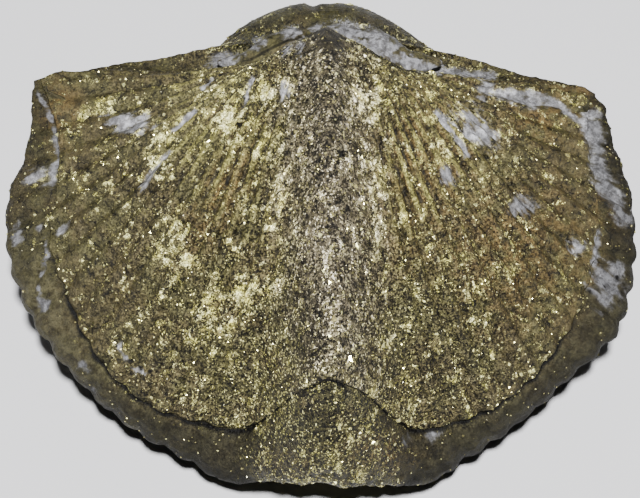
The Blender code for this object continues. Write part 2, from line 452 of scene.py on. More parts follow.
def near_line(at, line, half_width):
    """1 on the line through the points, 0.5 at the half width from it and 0 from twice that."""
    nearest = np.full(at.shape[:-1], 1e9)
    for start, end in zip(np.array(line[:-1], float), np.array(line[1:], float)):
        run = end - start
        share = np.clip(((at - start) @ run) / (run @ run), 0.0, 1.0)
        nearest = np.minimum(nearest, np.linalg.norm(at - start - share[..., None] * run, axis=-1))
    return np.clip(1 - 0.5 * nearest / half_width, 0.0, 1.0)


def bare_share(at, with_behind):
    """How bare of crust the marks make each point, with those behind the beak or without."""
    rows = BARE_MARKS + BEHIND_MARKS if with_behind else BARE_MARKS
    strips = [near_line(at, line, half_width) for half_width, *line in BARE_STRIPS]
    return np.maximum(marks(at, rows), np.max(strips, axis=0))


def to_row_frame(points):
    """Points of the shell frame, laid down in the resting pose."""
    turn = np.array(Euler((math.radians(REST_PITCH_DEG), 0.0, 0.0)).to_matrix())
    return points @ turn.T + HINGE_MIDDLE


# ----------------------------------------------------------
# Growth
# ----------------------------------------------------------


def smooth_through(points, at):
    """Points on the Catmull-Rom curve through `points`, at positions counted in control points."""
    ends = np.vstack((2 * points[0] - points[1], points, 2 * points[-1] - points[-2]))
    first = np.clip(np.floor(at).astype(int), 0, len(points) - 2)
    t = (at - first)[:, None]
    a, b, c, d = (ends[first + k] for k in range(4))
    return b + 0.5 * t * (c - a + t * (2 * a - 5 * b + 4 * c - d + t * (3 * (b - c) + d - a)))


def fold_wave(x):
    """The fold's share in the rim, from 0 beside it to 1 on its crest."""
    across = np.clip(np.abs(x - FOLD_MIDDLE) / FOLD_HALF_WIDTH, 0.0, 1.0)
    return np.cos(0.5 * math.pi * across) ** FOLD_POWER


def ring_columns():
    """The ring that grows: x, y, z and swell of each column, the fold's share in it, its height on
    a rib, and its place counted in ribs.
    """
    fine = smooth_through(RIM, np.linspace(0, len(RIM) - 1, RIM_SAMPLES))
    length = np.concatenate(([0.0], np.cumsum(np.linalg.norm(np.diff(fine[:, :2], axis=0), axis=1))))
    front = fine[:, 1] < FRONT_Y
    left = np.interp(FOLD_MIDDLE - FOLD_HALF_WIDTH, fine[front, 0], length[front])
    right = np.interp(FOLD_MIDDLE + FOLD_HALF_WIDTH, fine[front, 0], length[front])
    steps = 2 * RIBS_PER_FLANK
    ends = (0, steps, steps + FOLD_COLUMNS, 2 * steps + FOLD_COLUMNS)
    at = np.linspace(0, ends[-1], ends[-1] * FINE_PER_COLUMN + 1)
    stops = np.interp(at, ends, (0.0, left, right, length[-1]))
    rim = np.stack([np.interp(stops, length, fine[:, k]) for k in range(4)], axis=1)
    phase = np.where(at < steps, at, at - ends[2])
    crest = 2 * np.abs(np.sin(0.5 * math.pi * phase)) ** RIB_SHARPNESS - 1
    inside = np.minimum(np.abs(at - ends[0]), np.abs(at - ends[-1]))
    beside = np.where(at < steps, steps - at, at - ends[2])
    ribs = crest * smooth_step(inside, 0.0, 1.0) * smooth_step(beside, 0.0, 1.0)
    wander = sum(height * noise_at(rim[:, :3], size, size) for size, height in RIM_WANDER)
    wander *= smooth_step(inside, 0.0, 2.0)
    rim[:, 2] += RIM_SCALLOP * ribs + wander
    bulge = RIM_BULGE * ribs * smooth_step(inside, 6.0, 16.0) + RIM_WANDER_OUTWARDS * wander
    rim[:, :2] *= 1 + bulge[:, None] / np.linalg.norm(rim[:, :2], axis=1, keepdims=True)
    along = np.linspace(0.0, 1.0, HINGE_COLUMNS + 1)[1:-1, None]
    hinge = fine[-1] + (fine[0] - fine[-1]) * along
    none = np.zeros(len(hinge))
    fold = np.concatenate((fold_wave(rim[:, 0]), none))
    across = np.concatenate((0.5 * at, hinge[:, 0]))
    return np.vstack((rim, hinge)), fold, np.concatenate((ribs, none)), across


def grown(valve, ring, fold, turn):
    """The ring at one age, `turn` degrees back from the rim, in the shell frame."""
    shrink_age = turn * (1 - math.exp(-turn / valve["onset_deg"]))
    shrink = math.exp(-valve["shrink"] * shrink_age)
    narrow = math.exp(-valve["narrow"] * shrink_age)
    wave = fold * math.exp(-turn / FOLD_FADE_DEG)
    y = ring[:, 1] + FOLD_SET_BACK * wave - valve["axis_y"]
    z = ring[:, 2] + FOLD_RISE * wave - valve["axis_z"]
    angle = math.copysign(math.radians(turn), valve["turn_deg"])
    points = np.stack(
        (
            ring[:, 0] * narrow,
            valve["axis_y"] + shrink * (y * math.cos(angle) - z * math.sin(angle)),
            valve["axis_z"] + shrink * (y * math.sin(angle) + z * math.cos(angle)),
        ),
        axis=1,
    )
    if valve is PEDICLE:
        age = turn / (SWELL_PEAK_DEG + (SWELL_PEAK_FOLD_DEG - SWELL_PEAK_DEG) * fold)
        power = 1 + SWELL_POWER_MORE_ON_FOLD * fold
        swell = ring[:, 3] * age**power * np.exp(power * (1 - age))
        outward = ring[:, :2] / np.linalg.norm(ring[:, :2], axis=1, keepdims=True)
        on_rim = np.arange(len(ring)) < len(ring) - HINGE_COLUMNS + 1
        points[:, :2] += outward * (swell * on_rim)[:, None]
    return points


def normals(grid):
    """Unit normals of a grid of points whose columns close on themselves."""
    along = np.gradient(grid, axis=0)
    across = np.roll(grid, -1, axis=1) - np.roll(grid, 1, axis=1)
    found = np.cross(along, across)
    return found / np.maximum(np.linalg.norm(found, axis=2, keepdims=True), 1e-9)


def sawtooth(position):
    """A step that rises slowly and drops at once, from 0 to 1."""
    return position - np.floor(position)


FIELDS = ("bare", "gold", "clump", "fine", "grey", "crack", "rib", "ribbed", "painted_shade_and_dark", "lined", "band")
STREAK_FIELDS = ("across", "along")


class Valve:
    """One valve's fine surface: rows from the beak to the rim, columns round it, in the row frame."""

    def __init__(self, growth):
        self.side = 1.0 if growth is BRACHIAL else -1.0
        ring, fold, ribs, across = ring_columns()
        turns = abs(growth["turn_deg"]) * np.linspace(1.0, 0.0, ROWS + 1) ** ROW_CROWDING
        smooth = np.array([grown(growth, ring, fold, turn) for turn in turns])
        self.fold = np.broadcast_to(fold, smooth.shape[:2])
        self.beside_fold = 1 - smooth_step(self.fold, *FOLD_EDGE)
        self.turns = np.broadcast_to(turns[:, None], smooth.shape[:2])
        self.across = np.broadcast_to(across, smooth.shape[:2])
        self.along = self.turns
        self.placed = nudged(to_row_frame(smooth))
        self.outward = normals(self.placed) * self.side
        self.picture = picture_point(self.placed)
        self.facing = smooth_step(-(self.outward @ camera_axes()[0]), *MARKS_FACING)
        self.size = np.exp(-growth["shrink"] * self.turns)
        self.set_masks()
        shown = smooth_step(self.turns, *RIBS_SHOWN_FROM[self.side])
        self.rib = 0.5 + 0.5 * ribs * shown * (1 - smooth_step(self.turns, *RIBS_SHOWN_TO))
        outside = self.placed + self.outward * self.lift(smooth, ribs)[..., None]
        self.outside, self.opening, self.middle = self.with_opening(outside, self.placed[-1])

    def set_masks(self):
        """The fields that the material and the crystals read. Marks are only on what the photo shows."""
        shown = self.facing
        below = self.side < 0
        self.gold = marks(self.picture, GOLD_MARKS) * shown
        self.bright = marks(self.picture, BRIGHT_MARKS) * shown
        self.ribbed = marks(self.picture, RIBBED_MARKS) * shown
        self.grey = mark(self.picture, *FOLD_GREY) * shown * (not below)
        self.lined = mark(self.picture, *LINED_MARK) * shown * below
        band = self.band_share()
        front = smooth_step(self.picture[..., 1], *BAND_FRONT)
        self.band = band * (BAND_BEHIND + (1 - BAND_BEHIND) * front)
        self.painted_shade_and_dark = self.shade_and_dark_share(band)
        self.bare = bare_share(self.picture, below) * shown
        ragged = sum(share * noise_at(self.placed, size, 3.0 + size) for size, share in BARE_EDGES)
        self.bare = np.clip(self.bare + ragged * (self.bare > 0), 0.0, 1.0)
        self.crack = self.crack_share()
        self.clump = clump_noise(self.placed) + CLUMP_DENSITY
        self.clump += CLUMP_BRIGHT * self.bright + CLUMP_RIBBED * self.ribbed
        self.clump += CLUMP_BAND * self.band * (1 - self.bright) + CLUMP_LINED * self.lined
        smooth = smooth_step(marks(self.picture, SMOOTH_MARKS), 0.0, 0.7) * shown
        fine = FINE_MIDDLE - np.abs(self.placed[..., 0]) / FINE_HALF_WIDTH
        self.fine = np.clip(fine, *FINE_RANGE) * (1 - FINE_LOST_BAND * self.band)
        self.fine *= (1 - FINE_LOST_SMOOTH * smooth) * (1 - FINE_LOST_RIBBED * self.ribbed)

    def band_share(self):
        """The pedicle valve's plain band along the rim, which ends unevenly."""
        uneven = noise_at(self.placed, BAND_WANDER_SIZE, seed=31.0)
        band = sum(share * smooth_step(self.turns, *turns) for share, *turns in BAND_SETS_IN)
        band *= 1 - smooth_step(self.turns + BAND_WANDER_DEG * uneven, *BAND_FADES_DEG)
        fold = smooth_step(self.fold + BAND_WANDER_FOLD * uneven, *BAND_FADES_FOLD)
        return band * (1 - fold) * (self.side < 0)

    def shade_and_dark_share(self, band):
        """Where the surface is darker: painted shade on the band, most of all towards the front, the
        marked places, and the painted shadow along the brachial valve's outline.
        """
        # Painted shade on the band, deepest towards the front and lighter at the left.
        front = smooth_step(self.picture[..., 1], *BAND_SHADE_FRONT)
        band = band * (BAND_SHADE_BEHIND + (1 - BAND_SHADE_BEHIND) * front)
        band *= 1 - LESS_SHADED_BAND_LOSS * mark(self.picture, *LESS_SHADED_BAND_MARK)
        # Painted shade and darker colour at the marked places.
        dark = SHADE_AND_DARK_SHARE * smooth_step(marks(self.picture, SHADE_AND_DARK_MARKS), 0.2, 0.8) * self.facing
        # The painted shadow along the brachial valve's outline.
        shadow_line = OUTLINE_SHADOW_SHARE * painted_outline_shadow(self.picture) * self.facing
        return np.max((band, dark, shadow_line), axis=0)

    def crack_share(self):
        """The marked cracks, and the dark seam along the rim, a dark joint with painted shadow in its
        gap, which is fainter behind.
        """
        cracks = [near_line(self.picture, line, CRACK_HALF_WIDTH) for line in CRACKS]
        cracks.append(near_line(self.picture, ARCH_CRACK, ARCH_CRACK_HALF_WIDTH))
        lower = self.picture[..., 1] - SEAM_SLOPE * self.picture[..., 0]
        front = smooth_step(lower, *SEAM_FRONT)
        # The seam: a dark joint, partly painted shadow in its gap.
        seam = np.exp(-self.turns / SEAM_DEG) * (SEAM_BEHIND + (1 - SEAM_BEHIND) * front)
        seam *= SEAM_ON_FOLD + (1 - SEAM_ON_FOLD) * self.beside_fold
        seam *= SEAM_SHARE + SEAM_UNEVEN * noise_at(self.placed, SEAM_LUMP_SIZE, seed=9.0)
        return np.maximum(np.max(cracks, axis=0) * self.facing, seam)

    def lift(self, smooth, ribs):
        """How far the ribs, growth lines and crust stand out from the placed surface."""
        near_rim = smooth_step(self.turns, *CRUST_DEG)
        alive = np.minimum(1.0, RELIEF_KEPT * self.size)
        full = 1 - (1 - RIB_FADED) * np.exp(-((self.turns / RIB_FADE_DEG[self.side]) ** 2))
        full *= 1 - RIBS_LOWER_BY * smooth_step(self.turns, *RIBS_LOWER_FROM)
        full *= 1 + RIBBED_MORE * self.ribbed
        lift = 0.5 * RIB_HEIGHT * full * np.minimum(1.0, RIBS_KEPT * self.size) * ribs
        uneven = UNEVEN_HEIGHT * noise_at(smooth, UNEVEN_SIZE)
        lift += uneven * smooth_step(self.turns, *UNEVEN_FROM) * alive
        wander = LINES_WANDER * noise_at(self.placed, LINES_WANDER_SIZE, seed=11.0)
        steps = sawtooth(self.turns / LAMELLA_SPACING_DEG + wander) - 0.5
        steps *= near_rim * alive * smooth_step(self.turns, *LAMELLAE_FADE_DEG)
        lift += LAMELLA_HEIGHT * steps
        if self.side < 0:
            phase = self.turns / TONGUE_LINE_SPACING_DEG + TONGUE_LINES_WANDER * wander
            lines = np.sin(2 * math.pi * phase)
            lines *= smooth_step(self.fold, *TONGUE_FOLD) * near_rim
            lift += 0.5 * TONGUE_LINE_HEIGHT * lines
        crust = sum(height * noise_at(self.placed, size, size) for size, height in CRUST_LUMPS)
        crust = crust * alive * near_rim * (1 - CRUST_LOST_BARE * self.bare)
        lift += crust * (1 - CRUST_LOST_RIBBED * self.ribbed)
        lift += CLUMP_HEIGHT * smooth_step(self.clump, *CLUMP_EDGE) * alive * near_rim
        return lift - BARE_DEPTH * smooth_step(self.bare, *BARE_EDGE) - CRACK_DEPTH * self.crack

    def with_opening(self, outside, rim):
        """Rounds the lip along the rim, and adds rows that close the opening over the rock inside."""
        centre = to_row_frame(np.array(CENTRE))
        inward = centre - rim
        inward /= np.linalg.norm(inward, axis=1, keepdims=True)
        up = to_row_frame(np.array((0.0, 0.0, self.side))) - HINGE_MIDDLE
        wide = LIP_DEPTH * (1 + smooth_step(mark(self.picture, *CREST_GAP), 0.0, 1.0))
        wide *= LIP_ON_FOLD + (1 - LIP_ON_FOLD) * self.beside_fold
        wide *= np.exp(-self.turns / LIP_DEG)
        outside += wide[..., None] * LIP_SLOPE * (inward + up)
        rows = [centre + (outside[-1] - centre) * share for share in OPENING_SHARES]
        return outside, np.array(rows), centre + LIP_DEPTH * up

    def mesh(self, name):
        """The surface and its closed opening as one object, with the fields of the material."""
        grid = np.concatenate((self.outside, self.opening))
        rows, columns = grid.shape[:2]
        points = np.vstack((grid.reshape(-1, 3), grid[0].mean(axis=0), self.middle))
        points[:, 2] = np.maximum(points[:, 2], 0.0)
        index = np.arange(rows * columns).reshape(rows, columns)
        right = np.roll(index, -1, axis=1)
        quads = np.stack((index[:-1], index[1:], right[1:], right[:-1]), axis=-1).reshape(-1, 4)
        first = np.stack((index[0], right[0], np.full(columns, rows * columns)), axis=-1)
        last = np.stack((right[-1], index[-1], np.full(columns, rows * columns + 1)), axis=-1)
        faces = quads.tolist() + first.tolist() + last.tolist()
        if self.side > 0:
            faces = [face[::-1] for face in faces]
        obj = new_mesh(name, points, faces)
        for key in (*FIELDS, *STREAK_FIELDS):
            values = np.zeros(len(points))
            values[: self.turns.size] = getattr(self, key).ravel()
            set_field(obj, key, values)
        obj.data.shade_smooth()
        return obj


def new_mesh(name, points, faces):
    data = bpy.data.meshes.new(name)
    data.from_pydata((points * MM).tolist(), [], faces)
    obj = bpy.data.objects.new(name, data)
    bpy.context.scene.collection.objects.link(obj)
    return obj


def set_field(obj, key, values):
    attribute = obj.data.attributes.new(key, "FLOAT", "POINT")
    attribute.data.foreach_set("value", np.asarray(values, np.float32))


# ----------------------------------------------------------
# Shale
# ----------------------------------------------------------

SHALE_SUBDIVISIONS = 6
SHALE_LUMPS = ((2.4, 0.3), (0.9, 0.16), (0.35, 0.07))
SHALE_SUNK = 0.3
SHALE_ENDS = (3.5, 7.5)
SHALE_END_DROP = (0.9, 0.5)
SHALE_BARER = 1.2
SHALE_LESS_CLUMPED = 0.1
SHALE_FINE = 0.1
SHALE_MARKS_FACING = (0.0, 0.3)
SHALE_HIDDEN_BARE = 0.6
SHALE_HIDDEN_UNEVEN = 0.4
SHALE_PATCH_SIZE = 1.6
# The streaks of bare stone, as ribs and degrees of growth in a millimetre.
SHALE_ACROSS = 0.5
SHALE_ALONG = 8.0


def shale_mesh(name):
    """A lumpy spindle between the beaks, bare of crust where the marks say."""
    ball = bmesh.new()
    bmesh.ops.create_icosphere(ball, subdivisions=SHALE_SUBDIVISIONS, radius=1.0)
    points = np.array([vertex.co for vertex in ball.verts])
    outward = points.copy()
    points[:, 1:] *= 1 - SHALE_TAPER * np.abs(points[:, :1])
    tilt = np.array(Euler((math.radians(SHALE_TILT_DEG), 0.0, 0.0)).to_matrix())
    points = (points * SHALE_RADII) @ tilt.T + SHALE_CENTRE
    lumps = sum(height * noise_at(points, size, 2.0 * size) for size, height in SHALE_LUMPS)
    points[:, 1:] -= smooth_step(np.abs(points[:, :1]), *SHALE_ENDS) * SHALE_END_DROP
    points = to_row_frame(points + outward * (lumps - SHALE_SUNK)[:, None])
    for vertex, point in zip(ball.verts, points):
        vertex.co = point * MM
    data = bpy.data.meshes.new(name)
    ball.to_mesh(data)
    ball.free()
    obj = bpy.data.objects.new(name, data)
    bpy.context.scene.collection.objects.link(obj)
    at = picture_point(points)
    facing = smooth_step(-(outward @ camera_axes()[0]), *SHALE_MARKS_FACING)
    uneven = SHALE_HIDDEN_UNEVEN * noise_at(points, SHALE_PATCH_SIZE, seed=3.0)
    hidden = SHALE_HIDDEN_BARE + uneven
    fields = {
        "bare": SHALE_BARER * bare_share(at, True) * facing + hidden * (1 - facing),
        "clump": clump_noise(points) - SHALE_LESS_CLUMPED,
        "fine": np.full(len(points), SHALE_FINE),
        "rib": np.full(len(points), 0.5),
        "across": SHALE_ACROSS * points[:, 0],
        "along": SHALE_ALONG * points[:, 1],
        # The painted shadow along the brachial valve's outline.
        "painted_shade_and_dark": OUTLINE_SHADOW_SHARE * painted_outline_shadow(at),
    }
    for key, values in fields.items():
        set_field(obj, key, values)
    obj.data.shade_smooth()
    return obj


# ----------------------------------------------------------
# Crystals
# ----------------------------------------------------------

CRYSTAL_STRETCH = (0.65, 1.25)
CRYSTAL_SPREAD = 0.3
OCTAHEDRON = np.array(
    ((1, 0, 0), (-1, 0, 0), (0, 1, 0), (0, -1, 0), (0, 0, 1), (0, 0, -1)), float
)
OCTAHEDRON_FACES = np.array(
    ((0, 2, 4), (2, 1, 4), (1, 3, 4), (3, 0, 4), (2, 0, 5), (1, 2, 5), (3, 1, 5), (0, 3, 5))
)


def crystal_mesh(name, centres, radii, tones, random):
    """Octahedra of the given radii, each turned and stretched its own way."""
    turns = random.normal(size=(len(centres), 4))
    turns /= np.linalg.norm(turns, axis=1, keepdims=True)
    w, x, y, z = turns.T
    spin = np.array(
        (
            (1 - 2 * (y * y + z * z), 2 * (x * y - z * w), 2 * (x * z + y * w)),
            (2 * (x * y + z * w), 1 - 2 * (x * x + z * z), 2 * (y * z - x * w)),
            (2 * (x * z - y * w), 2 * (y * z + x * w), 1 - 2 * (x * x + y * y)),
        )
    ).transpose(2, 0, 1)
    shape = OCTAHEDRON[None] * random.uniform(*CRYSTAL_STRETCH, (len(centres), 1, 3))
    corners = centres[:, None] + radii[:, None, None] * np.einsum("nij,nkj->nki", spin, shape)
    corners[..., 2] = np.maximum(corners[..., 2], 0.0)
    faces = OCTAHEDRON_FACES[None] + len(OCTAHEDRON) * np.arange(len(centres))[:, None, None]
    obj = new_mesh(name, corners.reshape(-1, 3), faces.reshape(-1, 3).tolist())
    set_field(obj, "tone", np.repeat(tones, len(OCTAHEDRON)))
    return obj


def scatter(valve, count, weight, radius, sink, random):
    """Centres and radii of crystals on a valve, more where `weight` is high."""
    grid = valve.outside
    right = np.roll(grid, -1, axis=1)[:-1] - grid[:-1]
    down = np.diff(grid, axis=0)
    area = np.linalg.norm(np.cross(right, down), axis=2)
    chance = (area * weight[:-1]).ravel()
    chosen = random.choice(chance.size, count, p=chance / chance.sum())
    shares = random.uniform(size=(2, count, 1))
    right, down = (step.reshape(-1, 3)[chosen] for step in (right, down))
    centres = grid[:-1].reshape(-1, 3)[chosen] + shares[0] * right + shares[1] * down
    radii = radius * np.exp(random.normal(0.0, CRYSTAL_SPREAD, count))
    outward = valve.outward[:-1].reshape(-1, 3)[chosen]
    return centres - outward * (sink * radii)[:, None], radii


# ----------------------------------------------------------
# Materials
# ----------------------------------------------------------


def srgb(red, green, blue):
    """A colour given as it is seen on a screen, 0 to 255, as Blender's linear values."""
    shares = np.array((red, green, blue)) / 255
    linear = np.where(shares <= 0.04045, shares / 12.92, ((shares + 0.055) / 1.055) ** 2.4)
    return (*linear.tolist(), 1.0)


class Nodes:
    """The node tree of one material, built by short calls.

    A value given to a call is a number, a colour or a socket.
    """

    def __init__(self, name):
        self.material = bpy.data.materials.new(name)
        self.material.use_nodes = True
        self.tree = self.material.node_tree
        self.shader = self.tree.nodes["Principled BSDF"]
        self.place = self.tree.nodes.new("ShaderNodeTexCoord").outputs["Object"]

    def set(self, socket, value):
        if isinstance(value, bpy.types.NodeSocket):
            self.tree.links.new(value, socket)
        else:
            socket.default_value = value

    def node(self, kind, settings=None, **inputs):
        made = self.tree.nodes.new("ShaderNode" + kind)
        for key, value in (settings or {}).items():
            setattr(made, key, value)
        for key, value in inputs.items():
            self.set(made.inputs[key.replace("_", " ")], value)
        return made

    def math(self, operation, first, second=0.0):
        made = self.node("Math", {"operation": operation})
        self.set(made.inputs[0], first)
        self.set(made.inputs[1], second)
        return made.outputs[0]

    def plus(self, first, second):
        return self.math("ADD", first, second)

    def minus(self, first, second):
        return self.math("SUBTRACT", first, second)

    def times(self, first, second):
        return self.math("MULTIPLY", first, second)

    def most(self, first, second):
        return self.math("MAXIMUM", first, second)

    def rest(self, share):
        return self.minus(1.0, share)

    def vector(self, operation, first, second=None, scale=None):
        made = self.node("VectorMath", {"operation": operation})
        self.set(made.inputs[0], first)
        if second is not None:
            self.set(made.inputs[1], second)
        if scale is not None:
            self.set(made.inputs["Scale"], scale)
        return made.outputs[0]

    def scaled(self, vector, scale):
        return self.vector("SCALE", vector, scale=scale)

    def mix(self, share, first, second):
        """`first` where the share is 0, and `second` where it is 1."""
        made = self.node("Mix", {"data_type": "RGBA"})
        self.set(made.inputs[0], share)
        self.set(made.inputs[6], first)
        self.set(made.inputs[7], second)
        return made.outputs[2]

    def between(self, value, low, high, to_low=0.0, to_high=1.0):
        """`to_low` where the value is `low` or past it, `to_high` at `high`, smooth between them."""
        made = self.node("MapRange", {"interpolation_type": "SMOOTHSTEP"}, Value=value)
        keys = ("From Min", "From Max", "To Min", "To Max")
        for key, limit in zip(keys, (low, high, to_low, to_high)):
            self.set(made.inputs[key], limit)
        return made.outputs[0]

    def field(self, name):
        return self.node("Attribute", {"attribute_name": name}).outputs["Fac"]

    def noise(self, size, detail=3.0, roughness=0.55, seed=0.0):
        made = self.node(
            "TexNoise",
            {"noise_dimensions": "4D"},
            Vector=self.place,
            W=seed,
            Scale=1 / (size * MM),
            Detail=detail,
            Roughness=roughness,
        )
        return made.outputs["Fac"]

    def striae(self, width, length):
        """Noise drawn out along the ribs. `across` counts ribs and `along` degrees of growth."""
        made = self.node("CombineXYZ")
        for key, name, size in (("X", "across", width), ("Y", "along", length)):
            self.set(made.inputs[key], self.math("DIVIDE", self.field(name), size))
        return self.node("TexNoise", Vector=made.outputs[0], Scale=1.0, Detail=4.0).outputs["Fac"]

    def warped(self, size):
        """The place, shifted by noise with features about `size` millimetres apart."""
        made = self.node("TexNoise", Vector=self.place, Scale=1 / (size * MM), Detail=3.0)
        shift = self.vector("SUBTRACT", made.outputs["Color"], (0.5, 0.5, 0.5))
        return self.vector("ADD", self.place, self.scaled(shift, 1.2 * size * MM))

    def cells(self, size, feature, place):
        return self.node("TexVoronoi", {"feature": feature}, Vector=place, Scale=1 / (size * MM))

    def finish(self, **inputs):
        for key, value in inputs.items():
            self.set(self.shader.inputs[key.replace("_", " ")], value)
        return self.material


OLIVE = srgb(64, 61, 38)
BROWN = srgb(62, 56, 36)
UMBER = srgb(17, 15, 9)
FOLD_TONE = srgb(71, 65, 51)
FOLD_PALE = srgb(126, 119, 93)
FOLD_WHITE = srgb(230, 218, 190)
RIB_CREST_HIGHLIGHT = srgb(109, 105, 57)
RUST = srgb(83, 66, 35)
PALE = srgb(240, 237, 168)
BRASS = srgb(194, 188, 100)
GOLD = srgb(216, 204, 136)
LILAC = srgb(119, 119, 122)
LILAC_MIDDLE = srgb(76, 75, 76)
LILAC_DARK = srgb(44, 42, 40)
BAND_GREY = srgb(106, 101, 74)
BAND_DARK = srgb(52, 46, 28)
BLACK = srgb(6, 5, 4)
FLOOR_GREY = srgb(166, 166, 168)
FLOOR_LIGHT = srgb(171, 171, 173)


# How far apart the crust's features are, in millimetres.
TINT_SIZE = 2.6
CRACK_NET_SIZE = 1.3
CRACK_NET_WARP = 0.5
MOTTLE_SIZE = 0.9
LUMP_SIZE = 0.8
STONE_SIZE = 0.45
RAGGED_SIZE = 0.34
PIT_SIZE = 0.3
SPECK_SIZE = 0.2
GRAIN_SIZE = 0.13
# Widths in ribs and lengths in degrees of growth.
STONE_STRIAE = (0.3, 4.0)
RIB_STRIAE = (1.3, 14.0)
GROWTH_STRIAE = (5.0, 0.3)
# How much colour is left where the painted shade and darkening are fullest.
DIM_LEFT = 0.135
BUMP_DEPTH = 0.2


def crust_fields(n):
    """What the colours and the relief of the crust share: the mesh's fields, and noises."""
    f = SimpleNamespace(**{key: n.field(key) for key in FIELDS})
    f.mottle = n.noise(MOTTLE_SIZE, 4.0, 0.6, seed=2.0)
    f.ragged = n.noise(RAGGED_SIZE, 7.0, 0.8, seed=3.0)
    f.pits = n.noise(PIT_SIZE, 6.0, 0.75, seed=4.0)
    f.lumps = n.noise(LUMP_SIZE, 6.0, 0.75, seed=9.0)
    f.cloud = n.between(n.noise(MOTTLE_SIZE, 5.0, 0.7, seed=8.0), 0.36, 0.64, 0.36, 0.88)
    f.striae = n.striae(*STONE_STRIAE)
    f.grains = n.cells(GRAIN_SIZE, "F1", n.place).outputs["Color"]
    grit = n.plus(n.noise(GRAIN_SIZE, 3.0, 0.65, seed=5.0), n.between(f.grains, 0.2, 0.8, 0.3, 0.7))
    f.grit = n.times(grit, 0.5)
    f.on_fold = n.between(n.plus(f.grey, n.times(f.mottle, 1.4)), 0.7, 1.5)
    f.flaked = flaked_share(n, f)
    f.gritty = n.plus(n.times(f.fine, n.rest(f.flaked)), n.times(f.flaked, 0.4))
    torn = n.plus(n.times(f.ragged, 0.8), n.times(f.striae, 1.6))
    f.stony = n.between(n.plus(f.bare, n.minus(torn, 1.2)), 0.38, 0.86)
    return f


def flaked_share(n, f):
    """Bright flakes on the crust: ragged clumps, and single specks between them."""
    ragged = n.plus(f.clump, n.times(n.minus(f.ragged, 0.5), 1.6))
    near = n.plus(n.times(f.clump, 0.25), n.times(n.minus(f.fine, 0.5), 0.16))
    specks = n.plus(n.noise(SPECK_SIZE, 3.0, 0.6, seed=12.0), near)
    return n.most(n.between(ragged, 0.26, 0.38), n.between(specks, 0.66, 0.74, 0.0, 0.9))


def tarnish(n, f):
    """The dull crust: olive and brown, rust tints, painted highlight on the rib crests, painted shade
    in the grooves, and a greyer fold.
    """
    colour = n.mix(n.between(n.noise(TINT_SIZE, seed=1.0), 0.4, 0.6), OLIVE, BROWN)
    colour = n.mix(n.times(f.gold, n.between(f.mottle, 0.4, 0.6, 0.1, 0.9)), colour, RUST)
    streaks = n.times(f.ribbed, n.between(n.striae(*RIB_STRIAE), 0.4, 0.56))
    kept = n.most(streaks, n.between(f.mottle, 0.4, 0.6, 0.0, 0.4))
    # Painted highlight on the rib crests, streaked along the ribs.
    colour = n.mix(n.times(n.between(f.rib, 0.7, 0.95), kept), colour, RIB_CREST_HIGHLIGHT)
    # Painted shade in the grooves between the ribs, deepest where they are plainest.
    groove_shade = n.times(n.between(f.rib, 0.35, 0.1), n.between(f.mottle, 0.4, 0.6, 0.1, 0.6))
    groove_shade = n.times(groove_shade, n.between(f.ribbed, 0.1, 0.7, 1.0, 1.7))
    colour = n.mix(groove_shade, colour, UMBER)
    colour = n.mix(f.on_fold, colour, FOLD_TONE)
    pale = n.times(f.on_fold, n.between(f.lumps, 0.5, 0.62, 0.0, 0.8))
    colour = n.mix(pale, colour, FOLD_PALE)
    dark = n.times(f.on_fold, n.between(f.lumps, 0.47, 0.38, 0.0, 0.7))
    colour = n.mix(dark, colour, UMBER)
    deepest = n.between(f.fine, 0.1, 0.6, 0.6, 0.95)
    return n.mix(n.between(f.pits, 0.5, 0.38, 0.0, deepest), colour, UMBER)


def clouded(n, f, colour):
    """The tongue's growth lines, and cloudy light and dark over all of the crust."""
    lines = n.between(n.striae(*GROWTH_STRIAE), 0.42, 0.6, 0.5, 1.35)
    lines = n.plus(1.0, n.times(n.between(f.lined, 0.1, 0.7), n.minus(lines, 1.0)))
    plain = n.between(f.fine, 0.0, 0.7, 1.42, 1.0)
    plain = n.times(plain, n.between(f.ribbed, 0.0, 0.8, 1.0, 1.25))
    return n.scaled(n.scaled(colour, lines), n.times(f.cloud, plain))


def with_flakes(n, f, colour):
    """Brassy flakes, whiter on the fold, and then painted glints and darker spots on single
    grains.
    """
    tone = n.mix(n.between(f.mottle, 0.4, 0.6), BRASS, PALE)
    tone = n.mix(f.on_fold, tone, FOLD_WHITE)
    share = n.times(f.flaked, n.between(f.fine, 0.1, 0.6, 0.48, 0.88))
    darkest = n.between(f.gritty, 0.0, 1.0, 0.75, 0.0)
    # Painted glints: grains lit past their own colour, most where the crust is gritty.
    glint_lightest = n.between(f.gritty, 0.0, 1.0, 1.3, 3.4)
    return n.scaled(n.mix(share, colour, tone), n.between(f.grit, 0.36, 0.64, darkest, glint_lightest))


def with_stone(n, f, colour):
    """Grey-lilac shell or shale, streaked along the ribs, where the crust is gone."""
    mottle = n.noise(STONE_SIZE, 5.0, 0.7, seed=11.0)
    stone = n.mix(n.between(mottle, 0.4, 0.6), LILAC_MIDDLE, LILAC)
    stone = n.mix(n.between(f.striae, 0.5, 0.36, 0.0, 0.7), stone, LILAC_DARK)
    stone = n.scaled(stone, n.between(f.clump, 0.0, 0.35, 0.93, 2.0))
    return n.mix(f.stony, colour, stone)


def with_cracks(n, f, colour):
    """The marked cracks and the seam with its painted shadow, and a net of faint splits where the
    crust is darkest.
    """
    # Black in the cracks, and the painted shadow of the seam.
    colour = n.mix(n.between(f.crack, 0.2, 0.7), colour, BLACK)
    net = n.cells(CRACK_NET_SIZE, "DISTANCE_TO_EDGE", n.warped(CRACK_NET_WARP)).outputs[0]
    width = n.between(f.on_fold, 0.0, 1.0, 0.05, 0.1)
    split = n.times(n.between(net, width, 0.0), n.between(f.cloud, 0.7, 0.5))
    return n.mix(n.times(split, n.rest(f.stony)), colour, BLACK)


